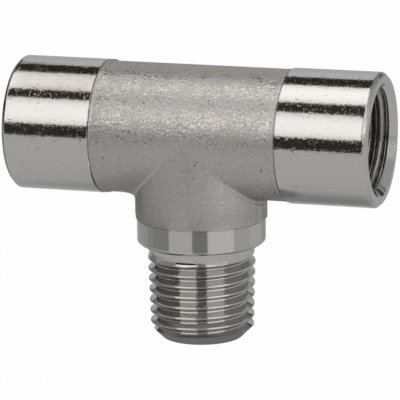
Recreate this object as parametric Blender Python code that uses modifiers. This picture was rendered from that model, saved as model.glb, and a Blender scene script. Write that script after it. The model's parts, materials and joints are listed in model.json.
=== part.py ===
# Branch tee for a quarter inch pipe line, forged in brass and nickel plated, in one piece.
# The run lies along X, with an internal thread in each end. The branch points down and
# carries an external taper thread. The origin is the centre of the male end's face, +Z is up.
# Sizes are in metres and angles in degrees.

import math

import bmesh
import bpy

# Quarter inch Whitworth pipe thread, the same on the branch and in the ports
THREAD_MAJOR_RADIUS = 0.0065785
THREAD_PITCH = 0.001337
FLANK_ANGLE = 27.5

# Run: two turned port collars on a forged body
RUN_HALF_LENGTH = 0.0230
PORT_WALL = 0.00168
PORT_COLLAR_LENGTH = 0.0113
PORT_COLLAR_STEP = 0.00019
PORT_EDGE_CHAMFER = 0.00046
TOOL_GROOVE = 0.00014
BEAD_WIDTH = 0.0011
BEAD_HEIGHT = 0.00016

# Ports: countersink, tapped length, and the drill's run beyond it
COUNTERSINK_MARGIN = 0.00035
PORT_THREAD_LENGTH = 0.0095
PORT_DRILL_RUN = 0.0016
DRILL_POINT_ANGLE = 59.0
PORT_THREAD_ANGLE = 120.0
RUN_PASSAGE_RADIUS = 0.0045

# Branch: forged stub, turned collar, plain neck and taper thread
RUN_AXIS_HEIGHT = 0.02585
BRANCH_STUB_LENGTH = 0.0107
BRANCH_COLLAR_LENGTH = 0.0032
BRANCH_COLLAR_STEP = 0.00012
SHOULDER_CHAMFER = 0.00030
NECK_LENGTH = 0.00145
GAUGE_LENGTH = 0.0071
TAPER_ON_RADIUS = 1 / 32
MALE_THREAD_LENGTH = 0.0100
MALE_THREAD_ANGLE = 200.0
MALE_END_CHAMFER = 0.0014
BRANCH_BORE_RADIUS = 0.0040
BORE_CHAMFER = 0.0003

# Forging: the blend where the branch meets the run, and the flat land that trimming
# the flash leaves down each side of the branch
BLEND_RADIUS = 0.0007
LAND_WIDTH = 0.0030
LAND_HEIGHT = 0.00004
LAND_EDGE = 0.00012

# Smoothness
TURNED_STEPS = 48
BLEND_STEPS = 3
RUNOUT_TURNS = 0.55
WELD_DISTANCE = 0.000002

# Worked out from the sizes above
THREAD_DEPTH = 0.640327 * THREAD_PITCH
THREAD_FLAT = THREAD_PITCH / 6
THREAD_MINOR_RADIUS = THREAD_MAJOR_RADIUS - THREAD_DEPTH
PORT_COLLAR_RADIUS = THREAD_MAJOR_RADIUS + PORT_WALL
FORGING_RADIUS = PORT_COLLAR_RADIUS - PORT_COLLAR_STEP
BRANCH_COLLAR_RADIUS = FORGING_RADIUS - BRANCH_COLLAR_STEP
CUTTER_REACH = 0.11 * THREAD_PITCH
OVERLAP = 0.0010


# Radius of the male thread's crests at a height above the male end
def crest_radius(height):
    return THREAD_MAJOR_RADIUS + (height - GAUGE_LENGTH) * TAPER_ON_RADIUS


def new_collection(name):
    collection = bpy.data.collections.new(name)
    bpy.context.scene.collection.children.link(collection)
    return collection


def brass_material():
    material = bpy.data.materials.new("nickel_plated_brass")
    material.use_nodes = True
    shader = material.node_tree.nodes["Principled BSDF"]
    shader.inputs["Base Color"].default_value = (0.55, 0.53, 0.49, 1.0)
    shader.inputs["Metallic"].default_value = 1.0
    shader.inputs["Roughness"].default_value = 0.30
    return material


# Joins a row of like rings of vertices with faces, and closes the first and the last
def bridge_rings(build, rings):
    for near, far in zip(rings, rings[1:]):
        for index in range(len(near)):
            after = (index + 1) % len(near)
            build.faces.new((near[index], near[after], far[after], far[index]))
    build.faces.new(rings[0])
    build.faces.new(rings[-1])
    bmesh.ops.recalc_face_normals(build, faces=build.faces)


def solid_from(build, name, collection):
    mesh = bpy.data.meshes.new(name)
    build.to_mesh(mesh)
    build.free()
    solid = bpy.data.objects.new(name, mesh)
    collection.objects.link(solid)
    return solid


# Turned solid about local Z. The outline runs down the outer side, from axis to axis.
def turned(name, outline, collection):
    mesh = bpy.data.meshes.new(name)
    vertices = [(radius, 0.0, height) for radius, height in outline]
    edges = [(index, index + 1) for index in range(len(outline) - 1)]
    mesh.from_pydata(vertices, edges, [])
    solid = bpy.data.objects.new(name, mesh)
    collection.objects.link(solid)
    screw = solid.modifiers.new("Turn", "SCREW")
    screw.axis = "Z"
    screw.angle = math.tau
    screw.steps = TURNED_STEPS
    screw.render_steps = TURNED_STEPS
    screw.use_merge_vertices = True
    screw.merge_threshold = 0.000001
    return solid


# One section of the forging at a distance from the parting plane: a T whose bars have the
# given half thicknesses, with rounded inside corners
def t_section(depth, run_half, branch_half):
    run_end = RUN_HALF_LENGTH - PORT_COLLAR_LENGTH + OVERLAP
    points = [(-run_end, run_half), (run_end, run_half), (run_end, -run_half)]
    for side in (1, -1):
        corner = []
        for step in range(BLEND_STEPS + 1):
            angle = math.pi / 2 * step / BLEND_STEPS
            across = branch_half + BLEND_RADIUS * (1 - math.sin(angle))
            down = run_half + BLEND_RADIUS * (1 - math.cos(angle))
            corner.append((side * across, -down))
        if side == 1:
            points += corner + [(branch_half, -BRANCH_STUB_LENGTH), (-branch_half, -BRANCH_STUB_LENGTH)]
        else:
            points += reversed(corner)
    points.append((-run_end, -run_half))
    return [(x, depth, RUN_AXIS_HEIGHT + z) for x, z in points]


# Die forging, lofted from sections parallel to the parting plane
def forged_body(collection):
    half_land = LAND_WIDTH / 2
    half_steps = TURNED_STEPS // 2
    depths = [-FORGING_RADIUS * math.cos(math.pi * (step + 0.5) / half_steps)
              for step in range(half_steps)]
    depths = [depth for depth in depths if abs(abs(depth) - half_land) > LAND_EDGE]
    for side in (-1, 1):
        depths += [side * half_land, side * (half_land - LAND_EDGE)]

    build = bmesh.new()
    rings = []
    for depth in sorted(depths):
        run_half = math.sqrt(FORGING_RADIUS ** 2 - depth ** 2)
        on_land = abs(depth) < half_land
        branch_half = FORGING_RADIUS + LAND_HEIGHT if on_land else run_half
        rings.append([build.verts.new(point) for point in t_section(depth, run_half, branch_half)])
    bridge_rings(build, rings)
    return solid_from(build, "tee_body", collection)


# Turned collar of one port, from inside the forging out to the port's face. The tool stops
# in a fine groove, and the die leaves a bead beside the groove where bead is above zero.
def port_collar(name, outward, bead, collection):
    inner = RUN_HALF_LENGTH - PORT_COLLAR_LENGTH
    groove_radius = FORGING_RADIUS - TOOL_GROOVE / 2
    bead_radius = FORGING_RADIUS + bead
    outline = [
        (0.0, RUN_HALF_LENGTH),
        (PORT_COLLAR_RADIUS - PORT_EDGE_CHAMFER, RUN_HALF_LENGTH),
        (PORT_COLLAR_RADIUS, RUN_HALF_LENGTH - PORT_EDGE_CHAMFER),
        (PORT_COLLAR_RADIUS, inner),
        (groove_radius, inner),
    ]
    if bead > 0:
        outline += [
            (bead_radius, inner - TOOL_GROOVE),
            (bead_radius, inner - BEAD_WIDTH + bead),
            (groove_radius, inner - BEAD_WIDTH),
        ]
    outline.append((0.0, outline[-1][1]))
    collar = turned(name, outline, collection)
    collar.location.z = RUN_AXIS_HEIGHT
    collar.rotation_euler.y = outward * math.pi / 2
    return collar


# Collar, neck and tapered thread blank of the branch, with the chamfered male end
def branch_stem(collection):
    collar_top = RUN_AXIS_HEIGHT - BRANCH_STUB_LENGTH
    shoulder = collar_top - BRANCH_COLLAR_LENGTH
    neck_end = shoulder - NECK_LENGTH
    end_crest = crest_radius(MALE_END_CHAMFER)
    outline = [
        (0.0, collar_top + OVERLAP),
        (BRANCH_COLLAR_RADIUS, collar_top + OVERLAP),
        (BRANCH_COLLAR_RADIUS, shoulder + SHOULDER_CHAMFER),
        (BRANCH_COLLAR_RADIUS - SHOULDER_CHAMFER, shoulder),
        (THREAD_MAJOR_RADIUS, shoulder),
        (THREAD_MAJOR_RADIUS, neck_end),
        (crest_radius(neck_end), neck_end - THREAD_FLAT),
        (end_crest, MALE_END_CHAMFER),
        (end_crest - MALE_END_CHAMFER, 0.0),
        (0.0, 0.0),
    ]
    return turned("branch_stem", outline, collection)


# Port's tap drill with its point, and the countersink at the mouth
def port_drill(name, outward, collection):
    mouth = THREAD_MAJOR_RADIUS + COUNTERSINK_MARGIN
    countersink = RUN_HALF_LENGTH - (mouth - THREAD_MINOR_RADIUS)
    bottom = RUN_HALF_LENGTH - PORT_THREAD_LENGTH - PORT_DRILL_RUN
    point = THREAD_MINOR_RADIUS / math.tan(math.radians(DRILL_POINT_ANGLE))
    outline = [
        (0.0, RUN_HALF_LENGTH + OVERLAP),
        (mouth + OVERLAP, RUN_HALF_LENGTH + OVERLAP),
        (THREAD_MINOR_RADIUS, countersink),
        (THREAD_MINOR_RADIUS, bottom),
        (0.0, bottom - point),
    ]
    drill = turned(name, outline, collection)
    drill.location.z = RUN_AXIS_HEIGHT
    drill.rotation_euler.y = outward * math.pi / 2
    return drill


# Plain passage through the run
def run_passage(collection):
    reach = RUN_HALF_LENGTH + OVERLAP
    outline = [(0.0, reach), (RUN_PASSAGE_RADIUS, reach), (RUN_PASSAGE_RADIUS, -reach), (0.0, -reach)]
    passage = turned("run_passage", outline, collection)
    passage.location.z = RUN_AXIS_HEIGHT
    passage.rotation_euler.y = math.pi / 2
    return passage


# Bore of the branch, from the run's axis out of the male end, with its edge broken
def branch_bore(collection):
    mouth = BRANCH_BORE_RADIUS + BORE_CHAMFER
    outline = [
        (0.0, RUN_AXIS_HEIGHT),
        (BRANCH_BORE_RADIUS, RUN_AXIS_HEIGHT),
        (BRANCH_BORE_RADIUS, BORE_CHAMFER),
        (mouth + OVERLAP, -OVERLAP),
        (0.0, -OVERLAP),
    ]
    return turned("branch_bore", outline, collection)


# Bar of the groove between two threads, swept along the helix as the threading tool moves.
# sections gives the root and mouth radius for a number of turns.
def thread_groove(name, sections, first_turn, last_turn, start_angle, collection):
    half_flat = THREAD_FLAT / 2
    spread = math.tan(math.radians(FLANK_ANGLE))
    steps = round((last_turn - first_turn) * TURNED_STEPS)
    build = bmesh.new()
    rings = []
    for step in range(steps + 1):
        turn = first_turn + step / TURNED_STEPS
        angle = turn * math.tau
        height = (turn - start_angle / 360) * THREAD_PITCH
        root, mouth = sections(turn, height)
        half_mouth = half_flat + abs(mouth - root) * spread
        corners = [(root, -half_flat), (root, half_flat), (mouth, half_mouth), (mouth, -half_mouth)]
        rings.append([
            build.verts.new((radius * math.cos(angle), radius * math.sin(angle), height + offset))
            for radius, offset in corners
        ])
    bridge_rings(build, rings)
    return solid_from(build, name, collection)


# Groove of the branch's taper thread, which fades out into the neck
def male_groove(collection):
    start = MALE_THREAD_ANGLE / 360
    full_end = start + MALE_THREAD_LENGTH / THREAD_PITCH
    first = math.floor((start - 1) * TURNED_STEPS) / TURNED_STEPS

    def sections(turn, height):
        lift = (THREAD_DEPTH + CUTTER_REACH) * max(0.0, turn - full_end) / RUNOUT_TURNS
        crest = crest_radius(height)
        return crest - THREAD_DEPTH + lift, crest + CUTTER_REACH + lift

    last = full_end + RUNOUT_TURNS
    return thread_groove("male_groove", sections, first, last, MALE_THREAD_ANGLE, collection)


# Groove of one port's thread, which fades in at the bottom of the tapped length
def port_groove(name, outward, collection):
    start = PORT_THREAD_ANGLE / 360
    bottom = (RUN_HALF_LENGTH - PORT_THREAD_LENGTH) / THREAD_PITCH
    first = math.floor((start + bottom) * TURNED_STEPS) / TURNED_STEPS
    last = start + RUN_HALF_LENGTH / THREAD_PITCH + 1

    def sections(turn, height):
        lift = THREAD_DEPTH * max(0.0, 1 - (turn - first) / RUNOUT_TURNS)
        return THREAD_MAJOR_RADIUS - lift, THREAD_MINOR_RADIUS - CUTTER_REACH - lift

    groove = thread_groove(name, sections, first, last, PORT_THREAD_ANGLE, collection)
    groove.location.z = RUN_AXIS_HEIGHT
    groove.rotation_euler.y = outward * math.pi / 2
    return groove


def combine(body, tool, operation):
    step = body.modifiers.new(tool.name, "BOOLEAN")
    step.operation = operation
    step.solver = "EXACT"
    step.object = tool
    weld = body.modifiers.new(tool.name + "_weld", "WELD")
    weld.merge_threshold = WELD_DISTANCE
    tool.hide_render = True
    tool.display_type = "WIRE"


# Keeps the shape that the modifiers give, as a plain mesh with smooth round faces
def finish_body(body, material):
    graph = bpy.context.evaluated_depsgraph_get()
    mesh = bpy.data.meshes.new_from_object(body.evaluated_get(graph), depsgraph=graph)
    body.modifiers.clear()
    body.data = mesh
    mesh.materials.clear()
    mesh.materials.append(material)
    mesh.shade_smooth()
    mesh.set_sharp_from_angle(angle=math.radians(22))


def build_tee():
    for old in list(bpy.data.objects):
        bpy.data.objects.remove(old, do_unlink=True)
    parts = new_collection("branch_tee")
    cutters = new_collection("tee_cutters")

    body = forged_body(parts)
    added = [
        port_collar("right_collar", 1, 0.0, cutters),
        port_collar("left_collar", -1, BEAD_HEIGHT, cutters),
        branch_stem(cutters),
    ]
    removed = [
        male_groove(cutters),
        port_drill("right_drill", 1, cutters),
        port_drill("left_drill", -1, cutters),
        port_groove("right_groove", 1, cutters),
        port_groove("left_groove", -1, cutters),
        run_passage(cutters),
        branch_bore(cutters),
    ]
    for tool in added:
        combine(body, tool, "UNION")
    for tool in removed:
        combine(body, tool, "DIFFERENCE")
    finish_body(body, brass_material())


build_tee()
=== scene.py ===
import json
import math

import bmesh
import bpy
from mathutils import Matrix, Vector

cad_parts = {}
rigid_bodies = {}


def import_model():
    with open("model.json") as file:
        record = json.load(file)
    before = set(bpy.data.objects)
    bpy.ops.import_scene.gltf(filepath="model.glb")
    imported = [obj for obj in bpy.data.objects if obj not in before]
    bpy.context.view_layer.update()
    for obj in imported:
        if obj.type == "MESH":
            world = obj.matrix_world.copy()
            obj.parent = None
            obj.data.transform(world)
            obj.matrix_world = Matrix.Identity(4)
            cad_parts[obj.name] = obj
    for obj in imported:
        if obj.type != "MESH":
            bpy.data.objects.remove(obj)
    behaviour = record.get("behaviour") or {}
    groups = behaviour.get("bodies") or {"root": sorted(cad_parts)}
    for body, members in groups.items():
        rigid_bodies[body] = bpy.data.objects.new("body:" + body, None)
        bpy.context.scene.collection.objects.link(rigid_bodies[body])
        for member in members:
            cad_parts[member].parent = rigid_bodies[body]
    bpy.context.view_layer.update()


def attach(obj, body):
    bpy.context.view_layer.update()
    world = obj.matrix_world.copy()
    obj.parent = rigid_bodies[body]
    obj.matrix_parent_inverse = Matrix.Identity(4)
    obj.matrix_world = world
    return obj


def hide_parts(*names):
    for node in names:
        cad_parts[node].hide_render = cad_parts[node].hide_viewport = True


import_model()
print("frame loaded")

mm = 0.001

# Sizes of the real fitting, in millimetres. They are the ones the CAD part was built to.
tee = {
    "runHalf": 23.0,        # centre to port face
    "runHeight": 25.85,     # run axis above the male end
    "collarRadius": 8.2585,
    "forgingRadius": 8.0685,
    "branchRadius": 7.9485,
    "branchTop": 15.15,     # top edge of the branch's turned collar
    "shoulder": 11.95,      # and its lower end
    "passage": 4.5,         # radius of the passage through the run
    "branchBore": 4.0,      # and of the one down the branch
    "passageSteps": 120,
}


def newCollection(name):
    made = bpy.data.collections.new(name)
    bpy.context.scene.collection.children.link(made)
    return made


teeParts = newCollection("teeParts")
cutters = newCollection("cutters")
studio = newCollection("studio")


def meshObject(name, points, faces, collection):
    mesh = bpy.data.meshes.new(name)
    mesh.from_pydata([tuple(c * mm for c in p) for p in points], [], faces)
    shape = bpy.data.objects.new(name, mesh)
    collection.objects.link(shape)
    return shape


def outward(shape):
    # makes every face look outwards, for the Booleans
    work = bmesh.new()
    work.from_mesh(shape.data)
    bmesh.ops.recalc_face_normals(work, faces=work.faces)
    work.to_mesh(shape.data)
    work.free()
    return shape


def ringStack(name, rings, collection):
    # closed solid from a row of rings with the same number of points
    count = len(rings[0])
    points = [p for ring in rings for p in ring]
    faces = []
    for row in range(len(rings) - 1):
        for i in range(count):
            j = (i + 1) % count
            a, b = row * count, (row + 1) * count
            faces.append((a + i, a + j, b + j, b + i))
    last = (len(rings) - 1) * count
    faces.append(tuple(range(count)))
    faces.append(tuple(last + i for i in range(count)))
    return outward(meshObject(name, points, faces, collection))


def turnedAlongX(name, profile, steps):
    # turned about the run's line. profile gives (x, radius) pairs, or is asked for them at each angle.
    angles = [math.tau * i / steps for i in range(steps)]
    outlines = [profile(angle) if callable(profile) else profile for angle in angles]
    rings = []
    for k in range(len(outlines[0])):
        ring = []
        for angle, outline in zip(angles, outlines):
            x, radius = outline[k]
            ring.append((x, -radius * math.sin(angle), tee["runHeight"] + radius * math.cos(angle)))
        rings.append(ring)
    return ringStack(name, rings, cutters)


def turnedAlongZ(name, profile, steps):
    # turned about the branch's line, from (height, radius) pairs
    angles = [math.tau * i / steps for i in range(steps)]
    rings = [[(radius * math.cos(a), radius * math.sin(a), z) for a in angles] for z, radius in profile]
    return ringStack(name, rings, cutters)


def roundedCorner(before, corner, after, radius, steps=3):
    # points of a round put on the corner of an outline
    c, b, a = Vector(corner), Vector(before), Vector(after)
    toB, toA = (b - c).normalized(), (a - c).normalized()
    half = toB.angle(toA) / 2
    reach = radius / math.tan(half)
    start, end = c + toB * reach, c + toA * reach
    middle = c + (toB + toA).normalized() * (radius / math.sin(half))
    u, v = start - middle, end - middle
    full = u.angle(v)
    points = []
    for k in range(steps + 1):
        t = full * k / steps
        points.append(tuple(middle + (u * math.sin(full - t) + v * math.sin(t)) / math.sin(full)))
    return points


def clamp(value):
    return max(0.0, min(1.0, value))


weldGap = 0.0005    # points closer than this, in millimetres, become one after each Boolean


def combine(body, tool, operation):
    step = body.modifiers.new(tool.name, "BOOLEAN")
    step.operation = operation
    step.solver = "EXACT"
    step.object = tool
    weld = body.modifiers.new(tool.name + "Weld", "WELD")
    weld.merge_threshold = weldGap * mm
    tool.hide_render = True
    tool.hide_viewport = True


forging = {
    "halfSteps": 84,        # sections from front to back
    "cornerRun": 2.0,       # blend into the branch: reach along the run
    "cornerDown": 1.5,      # and down the branch
    "cornerPullRun": (0.90, 0.14),
    "cornerPullDown": (0.02, 0.30),
    "cornerSteps": 12,
    "leftSize": 0.95,       # the left blend is large at the side and thin in front
    "leftFade": 3.4,
    "leftDrop": 0.60,       # and flatter than the right one
    "rightSize": 0.36,      # the right one stays small
    "rightFade": 1.4,
    "leastSize": 0.08,      # neither gets smaller than this
    "end": 11.2,            # the rings beside the collars cover the rest
    "endStrip": 1.2,        # short faces at the run's ends and in its middle, for even shading
    "middleStrip": 6.0,
    "footStrip": 0.3,       # and above the branch's collar
    "landHalf": 1.65,       # flat that the trimmed flash leaves down each side of the branch
    "landRise": 0.05,
    "landEdge": 0.36,
    "landSteps": 4,
    "landClear": 0.08,      # other sections stay this far from its edges
    "lineDepth": 0.06,      # fine line under the right blend
    "lineDrops": (0.02, 0.07, 0.13),
    "lineReach": 6.9,       # how far from the middle it still shows
    "lineFade": 0.8,
}


def cornerCurve(scale, drop):
    # the blend in one section, as (reach beyond the branch, drop below the run)
    f = forging
    pulls = ((f["cornerRun"], 0.0), f["cornerPullRun"], f["cornerPullDown"], (0.0, f["cornerDown"]))
    points = []
    for k in range(f["cornerSteps"] + 1):
        t = k / f["cornerSteps"]
        s = 1 - t
        weights = (s ** 3, 3 * s * s * t, 3 * s * t * t, t ** 3)
        reach, fall = (sum(w * p[axis] for w, p in zip(weights, pulls)) for axis in (0, 1))
        points.append((scale * reach, scale * drop * fall))
    return points


def forgingSection(depth):
    # outline of the tee at a distance in front of or behind its middle
    f = forging
    radius = tee["forgingRadius"]
    runHalf = branchHalf = math.sqrt(radius ** 2 - depth ** 2)
    if abs(depth) < f["landHalf"]:
        land = clamp((f["landHalf"] - abs(depth)) / f["landEdge"])
        branchHalf = max(runHalf, radius * land + runHalf * (1 - land)) + f["landRise"] * land
    share = runHalf / radius
    left = cornerCurve(max(f["leastSize"], f["leftSize"] * share ** f["leftFade"]), f["leftDrop"])
    right = cornerCurve(max(f["leastSize"], f["rightSize"] * share ** f["rightFade"]), 1.0)
    line = f["lineDepth"] * clamp((f["lineReach"] - abs(depth)) / f["lineFade"])
    lineTop, lineMiddle, lineBottom = f["lineDrops"]
    foot = -runHalf - right[-1][1]
    bottom = tee["branchTop"] - tee["runHeight"]
    end, inner, middle = f["end"], f["end"] - f["endStrip"], f["middleStrip"]
    outline = [(x, runHalf) for x in (-end, -inner, -middle, 0.0, middle, inner, end)]
    outline += [(end, -runHalf), (inner, -runHalf)]
    outline += [(branchHalf + a, -runHalf - b) for a, b in right]
    outline += [(branchHalf, foot - lineTop), (branchHalf - line, foot - lineMiddle),
                (branchHalf, foot - lineBottom)]
    outline += [(branchHalf, bottom + f["footStrip"]), (branchHalf, bottom),
                (-branchHalf, bottom), (-branchHalf, bottom + f["footStrip"])]
    outline += [(-branchHalf - a, -runHalf - b) for a, b in reversed(left)]
    outline += [(-inner, -runHalf), (-end, -runHalf)]
    return [(x, depth, tee["runHeight"] + z) for x, z in outline]


def buildForging():
    # a stack of sections, with a few more of them at the edges of the land
    f = forging
    steps, clear = f["halfSteps"], f["landClear"]
    depths = [-tee["forgingRadius"] * math.cos(math.pi * (k + 0.5) / steps) for k in range(steps)]
    depths = [d for d in depths if not -clear < f["landHalf"] - abs(d) < f["landEdge"] + clear]
    for side in (-1, 1):
        depths += [side * (f["landHalf"] - f["landEdge"] * k / f["landSteps"])
                   for k in range(f["landSteps"] + 1)]
    return ringStack("forged_tee", [forgingSection(d) for d in sorted(depths)], teeParts)


body = buildForging()
print("forging lofted")


# The pairs inner, groove, neckRadius and beadSlope are for the left and the right collar.
collar = {
    "steps": 168,
    "inner": (11.86, 11.70),    # where the collar stops
    "groove": (0.065, 0.12),    # width of the line between collar and forging
    "neckRadius": (8.05, 8.00),
    "buried": 2.0,              # how far the neck runs on inside the forging
    "innerRound": 0.06,
    "chamfer": 0.46,            # outer edge of the port face
    "startRound": 0.30,         # rounds at the chamfer's start and end
    "endRound": 0.16,
    "innerStrips": (0.3, 3.5),  # short faces near both ends, for even shading
    "outerStrips": (3.0, 1.0),
    "faceRing": 1.2,
    "seamTurn": 150,            # degrees from the top where the right collar's edge steps aside
    "seamWidth": 7,
    "seamReach": 60,
    "seamShift": 0.38,
    "beadWidth": 0.95,          # raised rings that the die left beside the collars
    "beadSlope": (0.45, 0.60),
    "beadBuried": 0.12,
    "slopeRound": 0.16,
    "lipRound": 0.05,
    "beadTop": 8.25,            # radius of the left ring at the top,
    "beadFront": 8.105,         # in front
    "beadBottom": 8.19,         # and below
    "beadFall": (14, 48),       # degrees from the top between which it gets lower
    "beadRise": (118, 150),     # and higher again
    "ridgeRadius": 8.115,       # the right ring is a slight rise
}


def seamAt(side, angle):
    # where a collar stops. The angle is 0 at the top and grows towards the front.
    c = collar
    if side < 0:
        return c["inner"][0]
    low = math.degrees(angle) % 360 - c["seamTurn"]
    if abs(low) >= c["seamReach"]:
        return c["inner"][1]
    return c["inner"][1] + c["seamShift"] / (1 + math.exp(-low / c["seamWidth"]))


def blend(value, low, high):
    t = clamp((value - low) / (high - low))
    return t * t * (3 - 2 * t)


def beadRadius(angle):
    # the left ring is tall at the top, low in front and at the back, and rises again below
    c = collar
    turn = abs((math.degrees(angle) + 180) % 360 - 180)
    radius = c["beadTop"] + (c["beadFront"] - c["beadTop"]) * blend(turn, *c["beadFall"])
    return radius + (c["beadBottom"] - c["beadFront"]) * blend(turn, *c["beadRise"])


def buildBead(side, name):
    c = collar
    low = tee["forgingRadius"] - c["beadBuried"]

    def profile(angle):
        end = seamAt(side, angle) - c["groove"][side > 0]
        start = end - c["beadWidth"]
        slopeEnd = start + c["beadSlope"][side > 0]
        top = c["ridgeRadius"] if side > 0 else beadRadius(angle)
        points = [(start, low)]
        points += roundedCorner((start, low), (slopeEnd, top), (end, top), c["slopeRound"])
        points += roundedCorner((start, top), (end, top), (end, low), c["lipRound"])
        points.append((end, low))
        return [(side * x, r) for x, r in points]
    combine(body, turnedAlongX(name, profile, c["steps"]), "UNION")


def buildCollar(side, name):
    c = collar
    radius, face, neck = tee["collarRadius"], tee["runHalf"], c["neckRadius"][side > 0]
    start, end = (face - c["chamfer"], radius), (face, radius - c["chamfer"])

    def profile(angle):
        inner = seamAt(side, angle)
        points = [(inner - c["buried"], neck), (inner, neck)]
        points += [(inner, radius - c["innerRound"]), (inner + c["innerRound"], radius)]
        points += [(inner + x, radius) for x in c["innerStrips"]]
        points += [(face - x, radius) for x in c["outerStrips"]]
        points += roundedCorner((inner, radius), start, end, c["startRound"])
        points += roundedCorner(start, end, (face, 0.0), c["endRound"])
        points.append((face, radius - c["faceRing"]))
        return [(side * x, r) for x, r in points]
    combine(body, turnedAlongX(name, profile, c["steps"]), "UNION")


buildBead(-1, "leftBead")
buildBead(1, "rightRidge")
buildCollar(-1, "leftCollar")
buildCollar(1, "rightCollar")
print("collars turned")


thread = {
    "major": 6.5785,
    "pitch": 1.337,
    "depth": 0.8561,
    "round": 0.1836,        # crest and root rounds of the Whitworth form
    "roundSteps": 3,
    "flank": 27.5,
    "steps": 132,           # around one turn
    "maleLength": 10.0,
    "gauge": 7.1,           # height at which the male crests measure the major radius
    "taper": 1 / 32,
    "maleStart": 200.0,     # degrees round the branch at which the male thread starts
    "fade": 0.55,           # turns over which it runs out
    "spareTurns": (1.6, 1.4),   # turns added below it and above it
    "neckEnd": 10.5,        # height at which the plain neck starts
    "neckStep": 0.22,
    "neckUnder": 0.015,     # how much smaller it is than the major radius
    "portStart": 120.0,
    "portLength": 9.5,
    "portLead": 0.9,        # turns over which the tap cut deeper
    "portSpare": 0.4,
}

branch = {
    "steps": 168,
    "endChamfer": 1.4,
    "endRing": 0.02,
    "envelopeOver": 0.6,    # the shape that trims the thread stands this far outside its crests
    "envelopeTop": 12.6,
    "buried": 1.0,          # how far the turned collar runs on inside the forging
    "lineDepth": 0.08,      # fine line between the two
    "lineDrops": (0.11, 0.13),
    "topStrip": 0.4,        # short faces near both ends of the collar, for even shading
    "lowStrips": (1.2, 0.5),
    "chamfer": 0.3,
    "startRound": 0.12,
    "endRound": 0.10,
    "neck": ((0.0, 0.15), (0.10, 0.02), (0.6, -0.3)),   # drop below the shoulder, beyond the major radius
    "mouthChamfer": 0.3,
    "mouthOver": 0.5,
}


def threadForm():
    # one pitch of the Whitworth form: (share of the pitch, depth below the crest), groove in the middle
    t = thread
    r, pitch, depth = t["round"], t["pitch"], t["depth"]
    turnBy = math.pi / 2 - math.radians(t["flank"])
    points = []
    for k in range(t["roundSteps"] + 1):
        a = turnBy * k / t["roundSteps"]
        points.append((r * math.sin(a), r - r * math.cos(a)))
    half = points + [(pitch / 2 - x, depth - d) for x, d in reversed(points)]
    whole = half + [(pitch - x, d) for x, d in reversed(half[1:-1])]
    return [(x / pitch, d) for x, d in whole]


def threadRod(name, envelope, first, last, start, lift, keepRoot=False):
    # threaded rod about Z, following the helix. envelope gives the crest's radius at a height.
    # lift (0 to 1) fades the groove out, up to its crest or, with keepRoot, down to its root.
    t = thread
    form = threadForm()
    count, steps = len(form), t["steps"]
    total = round((last - first) * steps)
    points = []
    for s in range(total + steps + 1):
        turn = first + s / steps
        angle = turn * math.tau
        for share, deep in form:
            if s > total and share > 0:
                continue
            z = (turn - start / 360 + share - 0.5) * t["pitch"]
            fade = lift(turn)
            radius = envelope(z) - deep * (1 - fade) - (t["depth"] * fade if keepRoot else 0.0)
            points.append((radius * math.cos(angle), radius * math.sin(angle), z))

    def at(s, j):
        # number of a point: j along the form, s steps along the helix. The next turn's first point
        # closes this turn's form.
        if j == count:
            s, j = s + steps, 0
        if s > total:
            return (total + 1) * count + (s - total - 1)
        return s * count + j
    faces = []
    for s in range(total):
        for j in range(count):
            faces.append((at(s, j), at(s, j + 1), at(s + 1, j + 1), at(s + 1, j)))
    low = [at(s, 0) for s in range(steps + 1)] + [at(0, j) for j in range(count - 1, 0, -1)]
    high = [at(total + s, 0) for s in range(steps + 1)] + [at(total, j) for j in range(count - 1, 0, -1)]
    for loop in (low, high):
        centre = len(points)
        points.append((0.0, 0.0, sum(points[i][2] for i in loop) / len(loop)))
        for a, b in zip(loop, loop[1:] + loop[:1]):
            faces.append((centre, a, b))
    return outward(meshObject(name, points, faces, cutters))


def crestRadius(z):
    # radius over the male crests, which falls to the plain neck's at the top
    t = thread
    neck = t["major"] - t["neckUnder"]
    if z >= t["neckEnd"]:
        return neck
    radius = t["major"] + (z - t["gauge"]) * t["taper"]
    fall = clamp((z - (t["neckEnd"] - t["neckStep"])) / t["neckStep"])
    return radius * (1 - fall) + neck * fall


def maleThread():
    t, b = thread, branch
    start = t["maleStart"] / 360
    fullEnd = start + t["maleLength"] / t["pitch"]

    def lift(turn):
        return clamp((turn - fullEnd) / t["fade"])
    rod = threadRod("maleThread", crestRadius, start - t["spareTurns"][0], fullEnd + t["spareTurns"][1],
                    t["maleStart"], lift)
    crest = crestRadius(b["endChamfer"])
    end, outer = crest - b["endChamfer"], crest + b["envelopeOver"]
    envelope = turnedAlongZ("maleEnvelope", [
        (0.0, end), (b["endRing"], end + b["endRing"]),
        (b["endChamfer"] + b["envelopeOver"], outer), (b["envelopeTop"], outer)], b["steps"])
    combine(rod, envelope, "INTERSECT")
    return rod


def buildBranch():
    b = branch
    top, low, radius = tee["branchTop"], tee["shoulder"], tee["branchRadius"]
    start, end = (low + b["chamfer"], radius), (low, radius - b["chamfer"])
    line = radius - b["lineDepth"]
    outline = [(top + b["buried"], line), (top - b["lineDrops"][0], line), (top - b["lineDrops"][1], radius)]
    outline.append((top - b["topStrip"], radius))
    outline += [(low + z, radius) for z in b["lowStrips"]]
    outline += roundedCorner((top, radius), start, end, b["startRound"], 2)
    outline += roundedCorner(start, end, (low, 0.0), b["endRound"], 2)
    outline += [(low - drop, thread["major"] + out) for drop, out in b["neck"]]
    rod = maleThread()
    combine(body, turnedAlongZ("branchCollar", outline, b["steps"]), "UNION")
    combine(body, rod, "UNION")


buildBranch()
print("branch thread cut")


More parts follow.
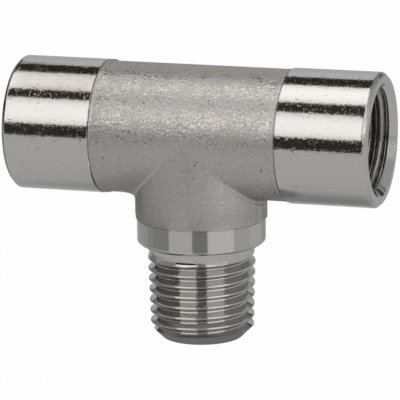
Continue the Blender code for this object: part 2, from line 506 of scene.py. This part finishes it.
port = {
    "minor": 5.7224,
    "mouth": 6.93,          # radius of the countersink at the port face
    "drillUnder": 0.03,     # the drill is this much smaller than the thread's minor radius
    "drillRun": 1.6,        # and runs this far past the thread
    "drillStrip": 2.0,
    "drillSteps": 144,
    "pointAngle": 59.0,
    "pointBlunt": 0.1,      # share of the drill's radius that is left at its tip
    "over": 1.0,            # cutters start this far outside
    "sinkOver": 0.8,
    "sinkUnder": 0.2,
    "sinkSteps": 150,
}


def buildPort(side, name):
    t, p = thread, port
    half, minor = tee["runHalf"], p["minor"]
    bottom = half - t["portLength"] - p["drillRun"]
    cone = minor / math.tan(math.radians(p["pointAngle"]))
    bore = minor - p["drillUnder"]
    drill = turnedAlongX(name + "Drill", [(side * x, r) for x, r in (
        (half + p["over"], bore), (half - p["drillStrip"], bore), (bottom, bore),
        (bottom - cone * (1 - p["pointBlunt"]), minor * p["pointBlunt"]))], p["drillSteps"])
    reach = p["mouth"] - minor + p["sinkUnder"]
    sink = turnedAlongX(name + "Sink", [(side * x, r) for x, r in (
        (half + p["sinkOver"], p["mouth"] + p["sinkOver"]), (half - reach, p["mouth"] - reach))],
        p["sinkSteps"])

    first = t["portStart"] / 360 + (half - t["portLength"]) / t["pitch"]
    last = t["portStart"] / 360 + half / t["pitch"] + t["portSpare"]

    def lift(turn):
        return clamp(1 - (turn - first) / t["portLead"])
    rod = threadRod(name + "Thread", lambda z: t["major"], first, last, t["portStart"], lift, True)
    # the groove form is turned inside out: its crest is the port's root
    rod.rotation_euler.y = side * math.pi / 2
    rod.location.z = tee["runHeight"] * mm
    for tool in (drill, sink, rod):
        combine(body, tool, "DIFFERENCE")


def boreThrough():
    reach = tee["runHalf"] + port["over"]
    across = turnedAlongX("runPassage", [(-reach, tee["passage"]), (reach, tee["passage"])],
                          tee["passageSteps"])
    edge, over, bore = branch["mouthChamfer"], branch["mouthOver"], tee["branchBore"]
    outline = [(-over, bore + edge + over), (edge, bore), (tee["runHeight"], bore)]
    down = turnedAlongZ("branchPassage", outline, tee["passageSteps"])
    for tool in (across, down):
        combine(body, tool, "DIFFERENCE")


def finishShape():
    # takes the result of all the Booleans, and clears the tools away
    graph = bpy.context.evaluated_depsgraph_get()
    finished = bpy.data.meshes.new_from_object(body.evaluated_get(graph), depsgraph=graph)
    body.modifiers.clear()
    body.data = finished
    for tool in list(cutters.objects):
        bpy.data.objects.remove(tool, do_unlink=True)
    bpy.data.collections.remove(cutters)
    print("body finished:", len(finished.polygons), "faces")


buildPort(-1, "leftPort")
buildPort(1, "rightPort")
boreThrough()
finishShape()


def newMaterial(name):
    material = bpy.data.materials.new(name)
    material.use_nodes = True
    tree = material.node_tree
    return material, tree, tree.nodes["Principled BSDF"]


def addNode(tree, kind, inputs=None, **settings):
    node = tree.nodes.new(kind)
    for key, value in settings.items():
        setattr(node, key, value)
    for key, value in (inputs or {}).items():
        if isinstance(value, bpy.types.NodeSocket):
            tree.links.new(value, node.inputs[key])
        else:
            node.inputs[key].default_value = value
    return node


def calc(tree, operation, *values):
    # one step of arithmetic
    return addNode(tree, "ShaderNodeMath", dict(enumerate(values)), operation=operation).outputs[0]


def times(tree, a, b):
    return calc(tree, "MULTIPLY", a, b)


def surfacePlace(tree):
    return addNode(tree, "ShaderNodeTexCoord").outputs["Object"]


def place(tree, scale, turn=0.0):
    # the surface's own place, turned about the depth and stretched by scale along each axis,
    # one unit to a millimetre
    point = surfacePlace(tree)
    if turn:
        rotated = addNode(tree, "ShaderNodeMapping", {"Vector": point})
        rotated.inputs["Rotation"].default_value = (0.0, math.radians(turn), 0.0)
        point = rotated.outputs["Vector"]
    mapping = addNode(tree, "ShaderNodeMapping", {"Vector": point})
    mapping.inputs["Scale"].default_value = tuple(1000 * s for s in scale)
    return mapping.outputs["Vector"]


def ramp(tree, value, low, high, outLow=0.0, outHigh=1.0):
    node = addNode(tree, "ShaderNodeMapRange", {"Value": value, "From Min": low, "From Max": high,
                                                "To Min": outLow, "To Max": outHigh})
    node.clamp = True
    return node.outputs["Result"]


def mixColour(tree, factor, a, b):
    node = addNode(tree, "ShaderNodeMix", data_type="RGBA")
    for key, value in (("Factor", factor), ("A", a), ("B", b)):
        socket = [s for s in node.inputs if s.name == key and (key == "Factor") == (s.type == "VALUE")
                  and s.enabled][0]
        if isinstance(value, bpy.types.NodeSocket):
            tree.links.new(value, socket)
        else:
            socket.default_value = value if key == "Factor" else (*value, 1.0)
    return [s for s in node.outputs if s.type == "RGBA"][0]


even = (1, 1, 1)    # marks that aren't stretched


def noise(tree, stretch, scale, detail, rough=0.5):
    node = addNode(tree, "ShaderNodeTexNoise", {"Vector": place(tree, stretch), "Scale": scale,
                                                "Detail": detail, "Roughness": rough})
    return node.outputs["Fac"]


def specks(tree, stretch, scale, size, share, turn=0.0):
    # small round spots, in the given share of the cells
    cells = addNode(tree, "ShaderNodeTexVoronoi", {"Vector": place(tree, stretch, turn), "Scale": scale})
    near = addNode(tree, "ShaderNodeMapRange", {"Value": cells.outputs["Distance"], "From Min": size,
                                                "From Max": 0.0}, interpolation_type="SMOOTHSTEP")
    colour = addNode(tree, "ShaderNodeSeparateColor", {"Color": cells.outputs["Color"]})
    return times(tree, near.outputs["Result"], calc(tree, "LESS_THAN", colour.outputs[0], share))


def ridges(tree, scale, width):
    # thin winding lines, where the noise crosses its middle
    off = calc(tree, "SUBTRACT", noise(tree, even, scale, 1.0), 0.5)
    return ramp(tree, calc(tree, "ABSOLUTE", off), width, 0.3 * width)


def bumps(tree, marks, heights):
    # lays marks over each other, each with its own height in millimetres
    normal = None
    for mark, height in zip(marks, heights):
        inputs = {"Height": mark, "Strength": 1.0, "Distance": height * mm}
        if normal is not None:
            inputs["Normal"] = normal
        normal = addNode(tree, "ShaderNodeBump", inputs).outputs["Normal"]
    return normal


def fromPoint(tree, point, reach):
    # 0 at a point and 1 on the oval that reaches so far from it, in millimetres
    away = addNode(tree, "ShaderNodeVectorMath", {0: surfacePlace(tree), 1: tuple(p * mm for p in point)},
                   operation="SUBTRACT")
    scaled = addNode(tree, "ShaderNodeVectorMath", {0: away.outputs["Vector"],
                                                    1: tuple(1 / (r * mm) if r else 0.0 for r in reach)},
                     operation="MULTIPLY")
    length = addNode(tree, "ShaderNodeVectorMath", {0: scaled.outputs["Vector"]}, operation="LENGTH")
    return length.outputs["Value"]


def acrossRun(tree, start, end):
    # 0 at one distance from the run's line and 1 at another
    return ramp(tree, fromPoint(tree, (0.0, 0.0, tee["runHeight"]), (0.0, 1.0, 1.0)), start, end)


def along(tree, axis, start, end, atStart, atEnd):
    # a value that changes between two places on an axis
    parts = addNode(tree, "ShaderNodeSeparateXYZ", {"Vector": surfacePlace(tree)})
    return ramp(tree, parts.outputs[axis], start * mm, end * mm, atStart, atEnd)


def pastCrease(tree, side):
    # the creases between run and branch lie at 45 degrees. Distance from one, positive on the branch.
    off = addNode(tree, "ShaderNodeVectorMath", {0: surfacePlace(tree), 1: (-float(side), 0.0, -1.0)},
                  operation="DOT_PRODUCT")
    return calc(tree, "SUBTRACT", off.outputs["Value"], -tee["runHeight"] * mm)


# Nickel over fine tool marks. Sizes and heights are in millimetres.
turned = {
    "plate": (0.430, 0.412, 0.392),
    "dark": (0.33, 0.30, 0.27),
    "scratch": (0.17, 0.14, 0.11),
    "stain": (0.29, 0.268, 0.245),
    "port": (0.32, 0.299, 0.277),       # painted shade: darker colour inside the ports
    "rim": (0.74, 0.74, 0.74, 1.0),     # how bright the metal gets where it is seen edge-on
    "rough": (0.06, 0.14),
    "portRough": 3.0,                   # times as rough inside the ports
    "edgeRough": 2.6,                   # and on the edges of the port faces, which lost their shine
    "portShare": 0.15,                  # share of the marks that is left inside the ports
    "portEdge": (22.4, 22.0),           # where the ports' inside begins, from the middle
    "portRadius": (6.75, 6.65),
    "faceEdge": (22.4, 22.6),
    "faceRadius": (7.6, 7.8),
    "stainPlace": (-16.5, -4.9, 32.5),  # handled spot on the left collar
    "stainReach": (7.5, 2.8, 2.8),
    "stainShare": 0.75,
    "dotsAlong": (1.35, 1.55),          # marks on the right and on the left collar
    "dashesAlong": (0.6, 1.2),
    "dotsBelow": 0.85,                  # share of the dots that is left on the lower half
    # heights of the tool marks, waves, fuzz, grit, dots, dashes and scratches
    "heights": (0.0014, 0.010, 0.006, 0.0018, 0.006, 0.009, -0.006),
}

# Satin nickel over the shot-blasted forging
blasted = {
    "plate": (0.415, 0.391, 0.370),
    "pink": (0.428, 0.388, 0.370),
    "green": (0.407, 0.395, 0.364),
    "dark": (0.26, 0.24, 0.22),
    "bright": (0.60, 0.58, 0.55),
    "rim": (0.50, 0.50, 0.50, 1.0),
    "rough": (0.66, 0.32),
    "glintRough": 0.56,                 # how much of the roughness the shinier bits keep
    "metal": (0.82, 0.95),
    "creaseHalf": 0.45,                 # half width of the painted highlight line on the left crease
    "paintedCreaseHighlight": 0.30,
    "calm": 0.62,                       # strength of the speckle on the lower half
    # painted shade, darker stretches low down, on the left and in bands near the top: axis, from, to, and
    # how dark at each
    "paintedShades": (("Z", 28.0, 26.0, 0.0, 0.18), ("Z", 25.0, 23.0, 0.0, 0.06), ("X", -2.0, -7.0, 0.0, 0.14)),
    "paintedTopShades": (("Z", 30.8, 32.2, 0.0, 0.20), ("Z", 33.0, 33.7, 0.0, 0.18)),
    "paintedLeftShade": ("X", -0.2, -4.3, 0.0, 0.47),       # painted shade on the left side of the branch
    "paintedRightHighlight": ("X", 0.8, 3.8, 0.0, 0.28),        # and painted highlight on its right side
    "nicks": (((9.92, -7.58, 23.05), (0.17, 0.40, 0.38)),       # place and reach of each
              ((-9.99, -7.74, 23.58), (0.22, 0.30, 0.20))),
    # heights of the sway, dents, grit, pits, flecks and nicks
    "heights": (0.07, 0.062, 0.011, -0.016, 0.008, -0.03),
}


def handledSpot(tree):
    away = fromPoint(tree, turned["stainPlace"], turned["stainReach"])
    patchy = ramp(tree, noise(tree, (0.5, 1, 1), 0.5, 2.0), 0.30, 0.60, 0.65, 1.0)
    return times(tree, ramp(tree, away, 1.0, 0.6), patchy)


def bothEnds(tree, operation, places, values):
    # a value that changes between two distances from the middle, at both ends of the run
    ends = [along(tree, "X", side * places[0], side * places[1], *values) for side in (1, -1)]
    return calc(tree, operation, *ends)


def turnedPlate(name, axisScale, dashStretch, wear):
    # with specks, small dashes and handling marks
    t = turned
    material, tree, shader = newMaterial(name)
    shader.inputs["Metallic"].default_value = 1.0
    marks = noise(tree, axisScale, 1.0, 2.0)
    wave = noise(tree, even, 0.45, 1.0)
    fuzz = noise(tree, even, 2.6, 2.0, 0.6)
    grit = noise(tree, even, 6.0, 1.0)
    dots = specks(tree, even, 3.6, 0.34, 0.70 * wear)
    dashes = specks(tree, dashStretch, 1.7, 0.26, 0.45 * wear)
    scratch = specks(tree, (0.42, 2.6, 2.6), 0.75, 0.24, 0.28 * wear, 32)
    stained = ramp(tree, noise(tree, even, 0.9, 6.0, 0.65), 0.60, 0.78, 0.0, 0.6)
    colour = mixColour(tree, stained, t["plate"], t["dark"])
    rough = ramp(tree, fuzz, 0.35, 0.65, *t["rough"])
    if wear == 1:
        # the left collar has been handled more than the right one
        dots = times(tree, dots, along(tree, "X", 8.0, -8.0, *t["dotsAlong"]))
        dots = times(tree, dots, along(tree, "Z", 26.5, 28.5, t["dotsBelow"], 1.0))
        dashes = times(tree, dashes, along(tree, "X", 8.0, -8.0, *t["dashesAlong"]))
        colour = mixColour(tree, times(tree, handledSpot(tree), t["stainShare"]), colour, t["stain"])
        # painted shade: the inside of the ports is given a darker colour
        deep = times(tree, bothEnds(tree, "MULTIPLY", t["portEdge"], (0.0, 1.0)),
                     acrossRun(tree, *t["portRadius"]))
        colour = mixColour(tree, deep, colour, t["port"])
        rough = times(tree, rough, ramp(tree, deep, 0.0, 1.0, 1.0, t["portRough"]))
        edge = bothEnds(tree, "MAXIMUM", t["faceEdge"], (1.0, t["edgeRough"]))
        rough = times(tree, rough, ramp(tree, acrossRun(tree, *t["faceRadius"]), 0.0, 1.0, 1.0, edge))
        shallow = ramp(tree, deep, 0.0, 1.0, 1.0, t["portShare"])
        dots, dashes, grit, fuzz = (times(tree, mark, shallow) for mark in (dots, dashes, grit, fuzz))
    colour = mixColour(tree, times(tree, scratch, 0.6), colour, t["scratch"])
    tree.links.new(colour, shader.inputs["Base Color"])
    shader.inputs["Specular Tint"].default_value = t["rim"]
    tree.links.new(rough, shader.inputs["Roughness"])
    normal = bumps(tree, (marks, wave, fuzz, grit, dots, dashes, scratch), t["heights"])
    tree.links.new(normal, shader.inputs["Normal"])
    return material


def paintedCreaseHighlight(tree):
    # painted highlight: 1 on the left crease and 0 beside it
    half = blasted["creaseHalf"] * mm
    near = ramp(tree, calc(tree, "ABSOLUTE", pastCrease(tree, -1)), half, 0.2 * half)
    near = times(tree, near, along(tree, "Z", 24.5, 21.5, 0.0, 1.0))
    return times(tree, near, along(tree, "X", -1.5, -3.5, 0.0, 1.0))


# painted shade on the left side of the branch, below the crease
def branchShade(tree):
    shade = times(tree, along(tree, *blasted["paintedLeftShade"]), ramp(tree, pastCrease(tree, -1), 0.0, 0.5 * mm))
    return times(tree, shade, along(tree, "Z", 23.0, 20.5, 0.0, 1.0))


# painted highlight on the right side of the branch, below the crease
def paintedBranchHighlight(tree):
    shine = times(tree, along(tree, *blasted["paintedRightHighlight"]), ramp(tree, pastCrease(tree, 1), 0.0, 0.4 * mm))
    return times(tree, shine, along(tree, "Z", 16.5, 18.5, 0.0, 1.0))


def frontNicks(tree):
    # the two knocks that stand out on the front of the forging
    marks = [ramp(tree, fromPoint(tree, *nick), 1.0, 0.5) for nick in blasted["nicks"]]
    return calc(tree, "MAXIMUM", *marks)


def blastedPlate():
    b = blasted
    material, tree, shader = newMaterial("blastedNickel")
    sway = noise(tree, even, 0.33, 1.0)
    dents = noise(tree, even, 2.4, 1.0)
    grit = noise(tree, even, 5.5, 1.0)
    patches = noise(tree, even, 4.2, 2.0, 0.6)
    speckle = noise(tree, even, 5.0, 2.0, 0.7)
    clusters = ramp(tree, noise(tree, even, 0.42, 2.0, 0.6), 0.44, 0.60)
    pits = times(tree, specks(tree, even, 1.15, 0.20, 0.16), clusters)
    flecks = specks(tree, even, 2.4, 0.30, 0.30)
    glints = calc(tree, "MAXIMUM", specks(tree, even, 2.0, 0.40, 0.26),
                   times(tree, ridges(tree, 1.7, 0.05), clusters))
    tint = noise(tree, even, 0.55, 4.0, 0.7)
    nicks = frontNicks(tree)
    strong = along(tree, "Z", 24.5, 26.5, b["calm"], 1.0)

    layers = [(ramp(tree, tint, 0.50, 0.68), b["pink"]), (ramp(tree, tint, 0.48, 0.32), b["green"])]
    # painted shade on the lower half and the left side of the forging
    layers += [(along(tree, *shade), b["dark"]) for shade in b["paintedShades"]]
    # painted shade on the branch's left side, then painted highlight on its right side
    layers += [(branchShade(tree), b["dark"]), (paintedBranchHighlight(tree), b["bright"])]
    # painted shade in bands near the top of the forging
    layers += [(along(tree, *shade), b["dark"]) for shade in b["paintedTopShades"]]
    # painted highlight along the left crease
    layers += [(times(tree, paintedCreaseHighlight(tree), b["paintedCreaseHighlight"]), b["bright"]),
               (times(tree, pits, 0.5), b["dark"]), (times(tree, nicks, 0.8), turned["scratch"]),
               (times(tree, flecks, 0.12), b["bright"]),
               (times(tree, ramp(tree, speckle, 0.50, 0.30, 0.0, 0.50), strong), b["dark"]),
               (times(tree, ramp(tree, speckle, 0.50, 0.70, 0.0, 0.35), strong), b["bright"])]
    colour = b["plate"]
    for share, paint in layers:
        colour = mixColour(tree, share, colour, paint)
    tree.links.new(colour, shader.inputs["Base Color"])
    shader.inputs["Specular Tint"].default_value = b["rim"]
    # the shot left dull craters between shinier bits of skin
    dull = ramp(tree, patches, 0.38, 0.62, *b["rough"])
    rough = times(tree, dull, ramp(tree, glints, 0.0, 0.8, 1.0, b["glintRough"]))
    tree.links.new(rough, shader.inputs["Roughness"])
    tree.links.new(ramp(tree, glints, 0.0, 0.8, *b["metal"]), shader.inputs["Metallic"])
    normal = bumps(tree, (sway, dents, grit, pits, flecks, nicks), b["heights"])
    tree.links.new(normal, shader.inputs["Normal"])
    return material


borders = {
    "port": 6.9,            # faces nearer to the run's line than this belong to the ports
    "besideBore": 0.05,
    "inGroove": 0.95,       # share of the groove that is turned
    "overTop": 0.001,       # slack at the top edge of the branch's collar
}


def isTurnedRun(x, y, z):
    # a collar, a port or the groove beside a collar. The place is in metres.
    side = 1 if x > 0 else -1
    up = z - tee["runHeight"] * mm
    inPort = math.hypot(y, up) < borders["port"] * mm and z > tee["branchTop"] * mm
    if inPort and abs(x) > (tee["branchBore"] + borders["besideBore"]) * mm:
        return True
    edge = seamAt(side, math.atan2(-y, up)) - collar["groove"][side > 0] * borders["inGroove"]
    return abs(x) > edge * mm


def isTurnedBranch(x, y, z):
    # the branch's collar, thread and bore
    inBore = math.hypot(x, y) < (tee["branchBore"] + borders["besideBore"]) * mm
    return z < (tee["branchTop"] + borders["overTop"]) * mm or (inBore and z < tee["runHeight"] * mm)


def giveFinishes():
    mesh = body.data
    mesh.materials.clear()
    plateRun = turnedPlate("turnedNickelRun", (26.0, 0.7, 0.7), (0.5, 1.3, 1.3), 1)
    plateBranch = turnedPlate("turnedNickelBranch", (0.7, 0.7, 26.0), (1.3, 1.3, 0.5), 0.25)
    for material in (blastedPlate(), plateRun, plateBranch):
        mesh.materials.append(material)
    for face in mesh.polygons:
        if isTurnedBranch(*face.center):
            face.material_index = 2
        else:
            face.material_index = 1 if isTurnedRun(*face.center) else 0
    mesh.shade_smooth()
    mesh.set_sharp_from_angle(angle=math.radians(29))


giveFinishes()
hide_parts("tee_body")
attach(body, "root")
print("finishes given")


view = {
    "turn": 17.2105,        # degrees to the right of the front
    "raise": 13.6482,
    "roll": -0.768,
    "place": (127.709, -412.728, 122.002),
    "lens": 325.3,
}


def buildCamera():
    v = view
    psi, phi, rho = (math.radians(v[k]) for k in ("turn", "raise", "roll"))
    right = Vector((math.cos(psi), math.sin(psi), 0))
    back = Vector((math.sin(psi) * math.cos(phi), -math.cos(psi) * math.cos(phi), math.sin(phi)))
    up = back.cross(right)
    rolledRight = right * math.cos(rho) + up * math.sin(rho)
    rolledUp = up * math.cos(rho) - right * math.sin(rho)
    camera = bpy.data.objects.new("camera", bpy.data.cameras.new("camera"))
    studio.objects.link(camera)
    camera.data.lens = v["lens"]
    camera.data.sensor_width = 36
    camera.data.clip_start = 0.01
    camera.data.clip_end = 20
    facing = Matrix((rolledRight, rolledUp, back)).transposed().to_4x4()
    camera.matrix_world = Matrix.Translation(Vector(v["place"]) * mm) @ facing
    bpy.context.scene.camera = camera


light = {
    "white": 1.0,
    "fill": 0.40,           # what the world gives to rough surfaces
    "inMetal": 0.52,        # how much of the floor's white the metal shows
    "backLow": 0.73,        # the backdrop in the metal, from its foot to high up
    "backHigh": 1.12,
    "backRise": (0.05, 0.72),   # heights between which it changes, where 1 is straight up
    "floorGlow": 0.98,
    "topLevel": 2.12,
    "frontLevel": 1.95,
    "frontTurn": 37,        # the front lamps stand this far to both sides of the camera
    "edgeLoss": 0.38,       # the lamps' fronts are dimmer towards their edges
    "darkLevel": 0.047,
    "darkTint": (1.0, 0.88, 0.74),
    "cardRadius": 13.0,
}


def emissive(name, level, tint=(1.0, 1.0, 1.0)):
    material = bpy.data.materials.new(name)
    material.use_nodes = True
    tree = material.node_tree
    tree.nodes.clear()
    glow = addNode(tree, "ShaderNodeEmission", {"Color": (*tint, 1.0), "Strength": level})
    out = addNode(tree, "ShaderNodeOutputMaterial")
    tree.links.new(glow.outputs["Emission"], out.inputs["Surface"])
    return material


def card(name, points, faces, material):
    # a sheet that shows in the metal and nowhere else
    shape = meshObject(name, points, faces, studio)
    shape.data.materials.append(material)
    shape.visible_camera = False
    shape.visible_diffuse = False
    shape.visible_shadow = False


def stripFaces(steps):
    return [(2 * k, 2 * k + 1, 2 * k + 3, 2 * k + 2) for k in range(steps)]


def arcCard(name, fromAngle, toAngle, distance, xRange, level, tint=(1.0, 1.0, 1.0), steps=24):
    # sheet bent around the run's line, from one angle to another. 0 is straight up, 90 is the front.
    points = []
    for k in range(steps + 1):
        a = math.radians(fromAngle + (toAngle - fromAngle) * k / steps)
        points += [(x, -distance * math.sin(a), tee["runHeight"] + distance * math.cos(a)) for x in xRange]
    card(name, points, stripFaces(steps), emissive(name, level, tint))


def branchCard(name, fromAngle, toAngle, low, high, level, steps=10):
    # upright sheet bent around the branch, close to it. Angles are from the camera's side,
    # growing to the right.
    points = []
    for k in range(steps + 1):
        a = math.radians(view["turn"] + fromAngle + (toAngle - fromAngle) * k / steps)
        x, y = light["cardRadius"] * math.sin(a), -light["cardRadius"] * math.cos(a)
        points += [(x, y, z) for z in (low, high)]
    card(name, points, stripFaces(steps), seenFromInside(emissive(name, level)))


def seenFromInside(material):
    # rays that come from behind the sheet pass through it
    tree = material.node_tree
    geometry = addNode(tree, "ShaderNodeNewGeometry")
    clear = addNode(tree, "ShaderNodeBsdfTransparent")
    mix = addNode(tree, "ShaderNodeMixShader", {0: geometry.outputs["Backfacing"]})
    tree.links.new(tree.nodes["Emission"].outputs["Emission"], mix.inputs[1])
    tree.links.new(clear.outputs["BSDF"], mix.inputs[2])
    tree.links.new(mix.outputs["Shader"], tree.nodes["Material Output"].inputs["Surface"])
    return material


def flatCard(name, outline, level):
    card(name, outline, [tuple(range(len(outline)))], emissive(name, level))


def oval(centre, reach, height, steps):
    angles = [math.tau * k / steps for k in range(steps)]
    return [(centre[0] + reach[0] * math.cos(a), centre[1] + reach[1] * math.sin(a), height) for a in angles]


def fadingCard(name, centre, reach, inside, outside):
    # oval of shade on the floor, from one level in the middle to another at the rim
    material = emissive(name, inside)
    tree = material.node_tree
    away = fromPoint(tree, (*centre, 0.0), (*reach, 0.0))
    level = ramp(tree, away, 0.35, 1.0, inside, outside)
    tree.links.new(level, tree.nodes["Emission"].inputs["Strength"])
    points = oval(centre, reach, 0.004, 48)
    card(name, points, [tuple(range(len(points)))], material)


def softbox(name, azimuth, elevation, distance, width, height, level):
    # lamp with a flat front, turned to the middle of the tee. Azimuth is from the front,
    # growing to the right.
    a, e = math.radians(azimuth), math.radians(elevation)
    away = Vector((math.sin(a) * math.cos(e), -math.cos(a) * math.cos(e), math.sin(e)))
    lamp = bpy.data.lights.new(name, "AREA")
    lamp.shape = "RECTANGLE"
    lamp.size, lamp.size_y = width * mm, height * mm
    lamp.energy = level * math.pi * lamp.size * lamp.size_y
    lamp.use_nodes = True
    tree = lamp.node_tree
    spot = addNode(tree, "ShaderNodeNewGeometry")
    across = addNode(tree, "ShaderNodeSeparateXYZ", {"Vector": spot.outputs["Parametric"]})
    off = calc(tree, "MULTIPLY_ADD", across.outputs["Y"], 2.0, -1.0)
    off = calc(tree, "POWER", calc(tree, "ABSOLUTE", off), 3.0)
    part = calc(tree, "MULTIPLY_ADD", off, -light["edgeLoss"], 1.0)
    tree.links.new(part, tree.nodes["Emission"].inputs["Strength"])
    holder = bpy.data.objects.new(name, lamp)
    studio.objects.link(holder)
    holder.location = away * distance * mm + Vector((0, 0, tee["runHeight"] * mm))
    holder.rotation_euler = away.to_track_quat("Z", "Y").to_euler()
    holder.visible_camera = False


def whereSeen(tree, inMetal):
    # 1 for the camera, and the given share in metal and glass
    rays = addNode(tree, "ShaderNodeLightPath")
    both = calc(tree, "MAXIMUM", rays.outputs["Is Glossy Ray"], rays.outputs["Is Transmission Ray"])
    return calc(tree, "MAXIMUM", times(tree, both, inMetal), rays.outputs["Is Camera Ray"])


def buildWorld():
    world = bpy.data.worlds.new("studioWorld")
    bpy.context.scene.world = world
    world.use_nodes = True
    tree = world.node_tree
    tree.nodes.clear()
    coords = addNode(tree, "ShaderNodeTexCoord")
    height = addNode(tree, "ShaderNodeSeparateXYZ", {"Vector": coords.outputs["Generated"]})
    white, fill = light["white"], light["fill"]
    part, full = ((light[level] - fill) / (white - fill) for level in ("backLow", "backHigh"))
    seen = whereSeen(tree, ramp(tree, height.outputs["Z"], *light["backRise"], part, full))
    low = addNode(tree, "ShaderNodeBackground", {"Color": (1, 1, 1, 1), "Strength": fill})
    high = addNode(tree, "ShaderNodeBackground", {"Color": (1, 1, 1, 1), "Strength": white})
    mix = addNode(tree, "ShaderNodeMixShader", {0: seen, 1: low.outputs[0], 2: high.outputs[0]})
    out = addNode(tree, "ShaderNodeOutputWorld")
    tree.links.new(mix.outputs[0], out.inputs["Surface"])


def buildFloor():
    size, drop = 6000.0, 0.02
    floor = meshObject("floor", [(-size, -size, 0), (size, -size, 0), (size, size, 0), (-size, size, 0)],
                       [(0, 1, 2, 3)], studio)
    floor.location.z = -drop * mm
    material = bpy.data.materials.new("paleFloor")
    material.use_nodes = True
    tree = material.node_tree
    tree.nodes.clear()
    share = times(tree, whereSeen(tree, light["inMetal"]), light["floorGlow"])
    matte = addNode(tree, "ShaderNodeBsdfDiffuse", {"Color": (0.5, 0.5, 0.5, 1.0)})
    glow = addNode(tree, "ShaderNodeEmission", {"Color": (1, 1, 1, 1), "Strength": light["white"]})
    mix = addNode(tree, "ShaderNodeMixShader", {0: share, 1: matte.outputs[0], 2: glow.outputs[0]})
    out = addNode(tree, "ShaderNodeOutputMaterial")
    tree.links.new(mix.outputs[0], out.inputs["Surface"])
    floor.data.materials.append(material)


# Small sheets close round the branch: name, from and to angle, from and to height, level.
branchCards = (
    ("leftEdgeHigh", -118, -94, 10.35, 14.2, 0.66),
    ("leftSideHigh", -94, -81, 10.35, 14.2, 0.59),
    ("leftTurnHigh", -81, -69, 10.35, 14.2, 0.47),
    ("leftHigh", -69, -42.5, 10.35, 14.6, 0.41),
    ("gapHigh", -11.5, 7.0, 10.35, 14.2, 0.34),
    ("rightHigh", 8.5, 41.5, 10.35, 14.2, 0.97),
    ("rightSideHigh", 42, 69, 10.35, 14.2, 0.68),
    ("rightEdgeHigh", 104, 135, 10.35, 14.2, 0.60),
    ("leftLow", -113, -47, 0.05, 8.75, 0.33),
    ("leftLightLow", -46.5, -11.5, 0.05, 8.75, 1.45),
    ("gapLow", -11.0, 8.5, 0.05, 8.75, 0.36),
    ("rightLightLow", 9.0, 44.5, 0.05, 8.75, 1.60),
    ("rightLow", 45, 98, 0.05, 8.75, 0.70),
)

# Flat sheets further off: name, corners, level.
flatCards = (
    ("leftFlag", [(-400, -60, 0), (-400, 520, 0), (-400, 520, 140), (-400, -60, 140)], 0.03),
    ("leftShade", [(-49, 8, 0.3), (-49, 60, 0.3), (-398, 330, 0.3), (-398, 8, 0.3)], 0.36),
    ("rightFlag", [(400, -10, 165), (400, 520, 165), (400, 520, 420), (400, -10, 420)], 0.62),
    # keeps the right lamp's glare out of the right port
    ("portFlag", [(120, -90, 72), (120, -37, 72), (120, -37, 140), (120, -90, 140)], 0.30),
    # shade far behind on the left, for the thread's left edge
    ("threadFlag", [(-270, 120, 90), (-146, 262, 90), (-146, 262, 290), (-270, 120, 290)], 0.32),
)


def buildStudio():
    buildCamera()
    buildWorld()
    buildFloor()
    # dark sheets above and in front, with the lamps' fronts showing before them
    dark, tint = light["darkLevel"], light["darkTint"]
    arcCard("tentTop", -42, 90, 900, (-620, 700), dark, tint, 48)
    arcCard("tentFront", 80, 100.5, 135, (-420, 420), dark, tint)
    for sheet in branchCards:
        branchCard(*sheet)
    # painted contact shadow: dark disc under the branch that shows only in the metal
    flatCard("paintedContactShadow", oval((0, 0), (8.5, 8.5), 0.008, 32), 0.33)
    fadingCard("underRunShade", (6, 7), (44, 15), 0.46, 0.78)
    for sheet in flatCards:
        flatCard(*sheet)
    # shade behind the tee, for the upper edge of the right port
    arcCard("backTent", -64, -48, 900, (130, 560), 0.30)
    arcCard("backTentHigh", -48, -42, 900, (100, 900), 0.30)
    flatCard("backFlag", [(45, 280, 70), (150, 280, 70), (150, 280, 145), (45, 280, 145)], 0.10)
    softbox("topBox", 0, 89.5, 560, 900, 383, light["topLevel"])
    for name, side in (("leftBox", -1), ("rightBox", 1)):
        softbox(name, view["turn"] + side * light["frontTurn"], 29.2, 600, 520, 461, light["frontLevel"])


buildStudio()
bpy.context.scene.view_settings.view_transform = "Standard"
print("studio set")

bpy.context.view_layer.update()
